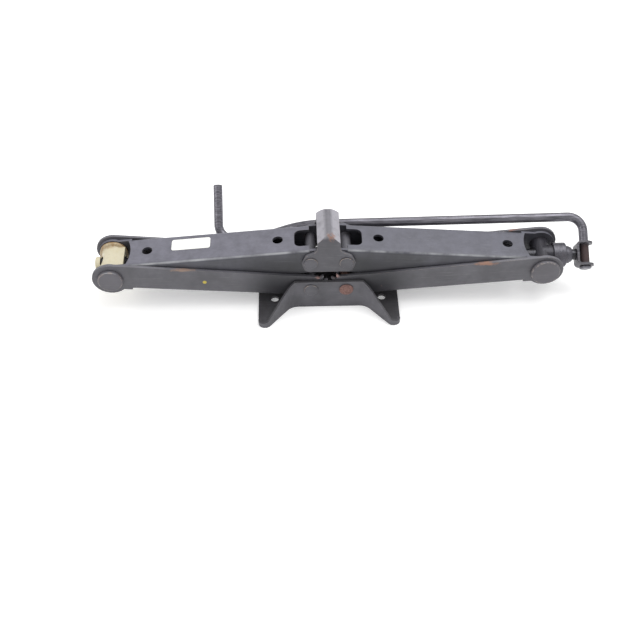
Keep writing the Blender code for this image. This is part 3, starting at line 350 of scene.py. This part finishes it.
def bentRoute(corners, steps=14):
    # Points through corners of (place, bend radius)
    points = [corners[0][0]]
    for i in range(1, len(corners) - 1):
        here, radius = corners[i]
        back = (corners[i - 1][0] - here).normalized()
        ahead = (corners[i + 1][0] - here).normalized()
        half = acos(back.dot(ahead)) / 2
        centre = here + (back + ahead).normalized() * radius / sin(half)
        first = here + back * radius / tan(half) - centre
        last = here + ahead * radius / tan(half) - centre
        sweep = first.angle(last)
        for step in range(steps + 1):
            share = step / steps
            spoke = first * sin((1 - share) * sweep) + last * sin(share * sweep)
            points.append(centre + spoke / sin(sweep))
    points.append(corners[-1][0])
    return points


crankBar = {
    "radius": 4.1 * mm,
    "belowPivot": 13.6 * mm,  # to the peened end
    "legLength": 34.63 * mm,  # from the pivot to the shaft
    "pastHead": 32.33 * mm,
    "bendX": -22 * mm,
    "lowPlace": (-62 * mm, 30.7 * mm, -1 * mm),  # from the screw's axis
    "gripX": -97.5 * mm,
    "gripLean": radians(46),
    "gripLength": 49 * mm,
    "tightBend": 13 * mm,
    "wideBend": 78 * mm,
    "peen": ((0, 3.4), (0.3, 4.7), (0.9, 5.4), (1.7, 5.4), (2.3, 4.9), (2.4, 4.1)),  # along, radius in mm
    "gripChamfer": 0.6 * mm,
    "sides": 28,
}


def crankBarPiece(material):
    # One round bar drawn along its route, with a peened end below the fork and a broken edge at the grip
    pivot = jointPlace["crank_fold"]
    along = -jointAxis["crank_fold"].normalized()
    axisZ = Vector((0, 0, pivot.z))
    bottom = pivot - along * crankBar["belowPivot"]
    lowX, lowY, lowRise = crankBar["lowPlace"]
    grip = axisZ + Vector((crankBar["gripX"], lowY, lowRise))
    gripWay = Vector((0, sin(crankBar["gripLean"]), cos(crankBar["gripLean"])))
    end = grip + gripWay * crankBar["gripLength"]
    start = bottom + along * crankBar["peen"][-1][0] * mm
    route = bentRoute([
        (start, 0),
        (pivot + along * crankBar["legLength"], crankBar["tightBend"]),
        (axisZ + Vector((crankBar["bendX"], 0, 0)) + along * crankBar["pastHead"], crankBar["wideBend"]),
        (axisZ + Vector((lowX, lowY, lowRise)), crankBar["wideBend"]),
        (grip, crankBar["tightBend"]),
        (end - gripWay * crankBar["gripChamfer"], 0),
    ])
    stops = [(bottom + along * up * mm, radius * mm) for up, radius in crankBar["peen"]]
    stops += [(point, crankBar["radius"]) for point in route[1:]]
    stops += [(end, crankBar["radius"] - crankBar["gripChamfer"])]
    shape = bmesh.new()
    ring = bmesh.ops.create_circle(shape, cap_ends=True, segments=crankBar["sides"], radius=1)["verts"]
    edges = list({edge for vert in ring for edge in vert.link_edges})
    heading, here, size = Vector((0, 0, 1)), Vector((0, 0, 0)), 1.0
    for i, (place, radius) in enumerate(stops):
        if i > 0:
            made = bmesh.ops.extrude_edge_only(shape, edges=edges)["geom"]
            ring = [item for item in made if isinstance(item, bmesh.types.BMVert)]
            edges = [item for item in made if isinstance(item, bmesh.types.BMEdge)]
        before = (place - stops[max(i - 1, 0)][0]) if i else stops[1][0] - place
        after = (stops[min(i + 1, len(stops) - 1)][0] - place) if i < len(stops) - 1 else before
        turn = heading.rotation_difference((before.normalized() + after.normalized()).normalized())
        bmesh.ops.translate(shape, verts=ring, vec=place - here)
        bmesh.ops.rotate(shape, verts=ring, cent=place, matrix=turn.to_matrix())
        bmesh.ops.scale(shape, verts=ring, vec=(radius / size,) * 3, space=Matrix.Translation(-place))
        heading, here, size = turn @ heading, place, radius
    bmesh.ops.contextual_create(shape, geom=edges)
    return finishMesh("crankBar", shape, material, "crank", ["crank_rod"])


leadScrew = {
    "radius": 5.9 * mm,
    "pitch": 3 * mm,
    "depth": 1.2 * mm,
    "ringsPerPitch": 8,
    "sides": 30,
    "threadEnd": -16 * mm,  # from the bearing's pivot
    "tail": 10.6 * mm,  # of thread beyond the nut's pivot
    "spigotRadius": 4 * mm,
    "collarEnd": 26.4 * mm,
    "neckRadius": 4.8 * mm,
    "headRadius": 6.2 * mm,
    "headStart": 32.8 * mm,
    "leadIn": 1.4 * mm,  # step down at the thread's first turn
    "relief": 1 * mm,  # plain length before it
    "spigotChamfer": 0.3 * mm,
    "headChamfer": 0.4 * mm,
}


def leadScrewPiece(material):
    # A rolled thread: a wrapped grid whose radius follows the thread round each turn
    pivot = jointPlace["bearing_pivot"]
    low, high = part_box("lead_screw")
    threadEnd = pivot.x + leadScrew["threadEnd"]
    step = leadScrew["pitch"] / leadScrew["ringsPerPitch"]
    threadStart = jointPlace["nut_pivot"].x - leadScrew["tail"] + leadScrew["leadIn"]
    count = int((threadEnd - threadStart) / step)
    top, neck, head = leadScrew["radius"], leadScrew["neckRadius"], leadScrew["headRadius"]
    collarEnd, headStart = pivot.x + leadScrew["collarEnd"], pivot.x + leadScrew["headStart"]
    spigot = leadScrew["spigotRadius"]
    relief, spigotChamfer = threadStart - leadScrew["relief"], leadScrew["spigotChamfer"]
    headChamfer = leadScrew["headChamfer"]
    stops = [(low.x, spigot - spigotChamfer, False), (low.x + spigotChamfer, spigot, False)]
    stops += [(relief, spigot, False), (relief, top - leadScrew["leadIn"], False)]
    stops += [(threadStart + i * step, top, True) for i in range(count)]
    stops += [(threadEnd, top, False), (collarEnd, top, False), (collarEnd, neck, False)]
    stops += [(headStart, neck, False), (headStart, head, False), (high.x - headChamfer, head, False)]
    stops += [(high.x, head - headChamfer, False)]
    shape = bmesh.new()
    bmesh.ops.create_grid(shape, x_segments=len(stops) - 1, y_segments=leadScrew["sides"], size=1)
    for vert in shape.verts:
        x, radius, threaded = stops[round((vert.co.x + 1) / 2 * (len(stops) - 1))]
        turn = (vert.co.y + 1) / 2
        if threaded:
            wave = 0.5 + 0.9 * cos(2 * pi * (x / leadScrew["pitch"] - turn))
            radius -= leadScrew["depth"] * min(1, max(0, wave))
        vert.co = (x, pivot.y + radius * cos(2 * pi * turn), pivot.z + radius * sin(2 * pi * turn))
    bmesh.ops.remove_doubles(shape, verts=shape.verts, dist=0.005 * mm)
    bmesh.ops.holes_fill(shape, edges=[e for e in shape.edges if e.is_boundary])
    return finishMesh("leadScrew", shape, material, "screw", ["lead_screw"], 50)


headLow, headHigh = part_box("head_saddle")
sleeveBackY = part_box("nut_sleeve")[1].y
crankPivot = jointPlace["crank_fold"]
headPivot = jointPlace["head_pivot"]
bearing = jointPlace["bearing_pivot"]
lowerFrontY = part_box("right_lower_arm")[0].y

# On the upper arms the paintedShades darken the front walls near the head: painted shade.
leftUpperPaint = satinPaint("satinBlackLeftUpperEnamel", "#38383d", "#484850", "#7e7d89", 0.68, 0.8, paintedShades=[
    ((-0.035, lowerFrontY, headPivot.z - 8 * mm), (75 * mm, 12 * mm, 22 * mm), "#1c1c20"),
], rustSpots=[
    ((-0.160, 16 * mm, headPivot.z + 3 * mm), (16 * mm, 4 * mm, 4 * mm), "#7a5348"),
])
# The right upper arm takes a darker dust colour than the left: the left web's lighter tone is a painted
# highlight.
rightUpperPaint = satinPaint("satinBlackRightUpperEnamel", "#38383d", "#484850", "#6a6a75", 0.8, 0.8,
                             paintedShades=[
    ((0.035, lowerFrontY, headPivot.z - 8 * mm), (75 * mm, 12 * mm, 22 * mm), "#1c1c20"),
])
# On the lower arms the paintedShades are painted shadow inside the foot's flared walls.
lowerPaint = satinPaint("satinBlackLowerEnamel", "#49484d", "#57565c", "#7b7a82", 0.5, 0.8, paintedShades=[
    ((-0.040, lowerFrontY, 26 * mm), (48 * mm, 10 * mm, 30 * mm), "#1f1f23"),
    ((0.040, lowerFrontY, 26 * mm), (48 * mm, 10 * mm, 30 * mm), "#1f1f23"),
], rustSpots=[
    ((-0.125, lowerFrontY, bearing.z + 9.5 * mm), (20 * mm, 5 * mm, 3 * mm), "#8d7668"),
    ((0.137, lowerFrontY, bearing.z + 9.8 * mm), (16 * mm, 5 * mm, 3 * mm), "#94705e"),
    ((0.166, -lowerFrontY, bearing.z + 15 * mm), (9 * mm, 6 * mm, 4 * mm), "#8d5f4e"),
    ((-0.0095, -20 * mm, headPivot.z - 16 * mm), (5 * mm, 4 * mm, 4 * mm), "#a0807a"),
    ((0.0065, -20 * mm, headPivot.z - 16 * mm), (5 * mm, 4 * mm, 4 * mm), "#a0807a"),
], paintDabs=[((-0.1085, lowerFrontY, 0.030), 2 * mm, "#b3a03c")])
discPaint = satinPaint("satinBlackDiscEnamel", "#4d4b50", "#57555b", "#7b7a82", 0.4, 0.6)
# The foot's dust colour is darker than its paint: painted shade on its upward faces.
footPaint = satinPaint("satinBlackFootEnamel", "#403f44", "#525157", "#2f2d2d", 0.7, 0.9)
headPaint = satinPaint("wornSaddleEnamel", "#434247", "#515056", "#74737a", 0.4, 0.9, rustSpots=[
    ((2 * mm, headLow.y + 4 * mm, headHigh.z - 4 * mm), (6 * mm, 6 * mm, 7 * mm), "#8a6656"),
], bareCap={"from": headHigh.z - 13 * mm, "to": headHigh.z - 8 * mm, "ridge": 3.2 * mm, "steel": "#98969d"})
barSteel = drawnSteel("drawnCrankBarSteel", "#424248", "#817f87", 0.36, 0.7, 0.12, (1 / 16, 1, 1),
                      (crankPivot, 13 * mm))
forkSteel = drawnSteel("pressedForkSteel", "#3d3c41", "#6f6e73", 0.42, 0.6, 0.3)
turnedSteel = drawnSteel("turnedBearingSteel", "#434248", "#5f5e65", 0.4, 0.5, 0.2, (1, 1 / 6, 1))
# Chips at full strength on the rivet heads: chipped rims together with a painted highlight ring.
rivetPaint = satinPaint("satinBlackRivetEnamel", "#434247", "#515056", "#7b7a82", 0.4, 1.0)
oiledSteel = drawnSteel("oiledTrunnionSteel", "#27262c", "#3d3c43", 0.4, 0.4, 0.2, (1, 1 / 6, 1))
rustyRivetSteel = drawnSteel("rustyRivetSteel", "#5e423c", "#84645d", 0.6, 0.3, 0.6, (1, 1, 1))
greasedSteel = drawnSteel("greasedThreadSteel", "#202024", "#47474b", 0.3, 0.8, 0.2, (1, 1, 1))
nylon = creamNylon("mouldedCreamNylon", sleeveBackY)
vinyl = vinylLabel("whiteVinylFilm")
print("finishes made")

finishOf = {
    "base_foot": (footPaint, "black_paint"),
    "base_rivet_left": (rivetPaint, "black_paint"),
    "base_rivet_right": (rustyRivetSteel, "rusty_rivet"),
    "left_lower_arm": (lowerPaint, "black_paint"),
    "right_lower_arm": (lowerPaint, "black_paint"),
    "left_upper_arm": (leftUpperPaint, "black_paint"),
    "right_upper_arm": (rightUpperPaint, "black_paint"),
    "head_saddle": (headPaint, "black_paint"),
    "head_rivet_left": (rivetPaint, "black_paint"),
    "head_rivet_right": (rivetPaint, "black_paint"),
    "nut_pivot_front": (discPaint, "black_paint"),
    "nut_pivot_back": (discPaint, "black_paint"),
    "bearing_pivot_front": (discPaint, "black_paint"),
    "bearing_pivot_back": (discPaint, "black_paint"),
    "bearing_trunnion": (oiledSteel, "black_paint"),
    "thrust_cup": (turnedSteel, "black_paint"),
    "screw_collar": (turnedSteel, "black_paint"),
    "thrust_race_inner": (greasedSteel, "bright_steel"),
    "thrust_race_outer": (greasedSteel, "bright_steel"),
    "thrust_ball_ring": (greasedSteel, "bright_steel"),
    "nut_trunnion": (greasedSteel, "greased_steel"),
    "nut_sleeve": (nylon, "cream_plastic"),
    "screw_end_cap": (nylon, "cream_plastic"),
    "crank_fork": (forkSteel, "worn_bar"),
    "blank_label": (vinyl, "white_label"),
}
roundOf = {"blank_label": 0.04 * mm, "thrust_ball_ring": 0, "head_saddle": 0.5 * mm, "base_foot": 0.5 * mm}
for node, (material, slot) in finishOf.items():
    softened(node, material, roundOf.get(node, 0.3 * mm))
leadScrewPiece(greasedSteel)
crankBarPiece(barSteel)
print("pieces made:", len(finishOf) + 2)


studio = {
    "floorSize": 8.0,
    "paperGlow": 0.24,
    "skyStrength": 0.82,
    "aim": (0, 0, 0.03),  # of the lamps
    "target": (-0.007, 0.0, -0.0421),
    "azimuth": -1.68,  # degrees, 0 looks along +Y
    "elevation": 46.3,
    "distance": 1.0,
    "lens": 59.93,
    "lamps": [  # name, place, width and height, watts
        ("overheadPanel", (0.5, 0.35, 1.5), (1.4, 1.0), 16.0),
        ("leftPanel", (-1.3, -0.3, 0.9), (0.8, 0.8), 4.0),
    ],
}
shape = bmesh.new()
bmesh.ops.create_grid(shape, x_segments=1, y_segments=1, size=studio["floorSize"] / 2)
floorMesh = bpy.data.meshes.new("studioFloor")
shape.to_mesh(floorMesh)
shape.free()
floor = bpy.data.objects.new("studioFloor", floorMesh)
bpy.context.scene.collection.objects.link(floor)
# Seamless backdrop paper, without gloss, lit a little from behind so that shadows stay soft
paperMaterial, paperShader = newMaterial("mattWhitePaper", 0.95)
paperShader.inputs["Base Color"].default_value = linearColour("#fbfbfb")
paperShader.inputs["Emission Color"].default_value = (1, 1, 1, 1)
paperShader.inputs["Emission Strength"].default_value = studio["paperGlow"]
floorMesh.materials.append(paperMaterial)

scene = bpy.context.scene
scene.view_settings.view_transform = "Standard"
scene.world = bpy.data.worlds.new("studioSky")
scene.world.use_nodes = True
sky = scene.world.node_tree.nodes["Background"]
sky.inputs["Color"].default_value = (1, 1, 1, 1)
sky.inputs["Strength"].default_value = studio["skyStrength"]

for name, place, (width, height), watts in studio["lamps"]:
    lampData = bpy.data.lights.new(name, "AREA")
    lampData.shape = "RECTANGLE"
    lampData.size, lampData.size_y = width, height
    lampData.energy = watts
    lamp = bpy.data.objects.new(name, lampData)
    lamp.location = place
    lamp.rotation_euler = (Vector(studio["aim"]) - Vector(place)).to_track_quat("-Z", "Y").to_euler()
    scene.collection.objects.link(lamp)

cameraData = bpy.data.cameras.new("studioCamera")
cameraData.lens = studio["lens"]
cameraData.sensor_width = 36
camera = bpy.data.objects.new("studioCamera", cameraData)
around, above = radians(studio["azimuth"]), radians(studio["elevation"])
outward = Vector((sin(around) * cos(above), -cos(around) * cos(above), sin(above)))
camera.location = Vector(studio["target"]) + outward * studio["distance"]
camera.rotation_euler = (-outward).to_track_quat("-Z", "Y").to_euler()
scene.collection.objects.link(camera)
scene.camera = camera
print("studio made")
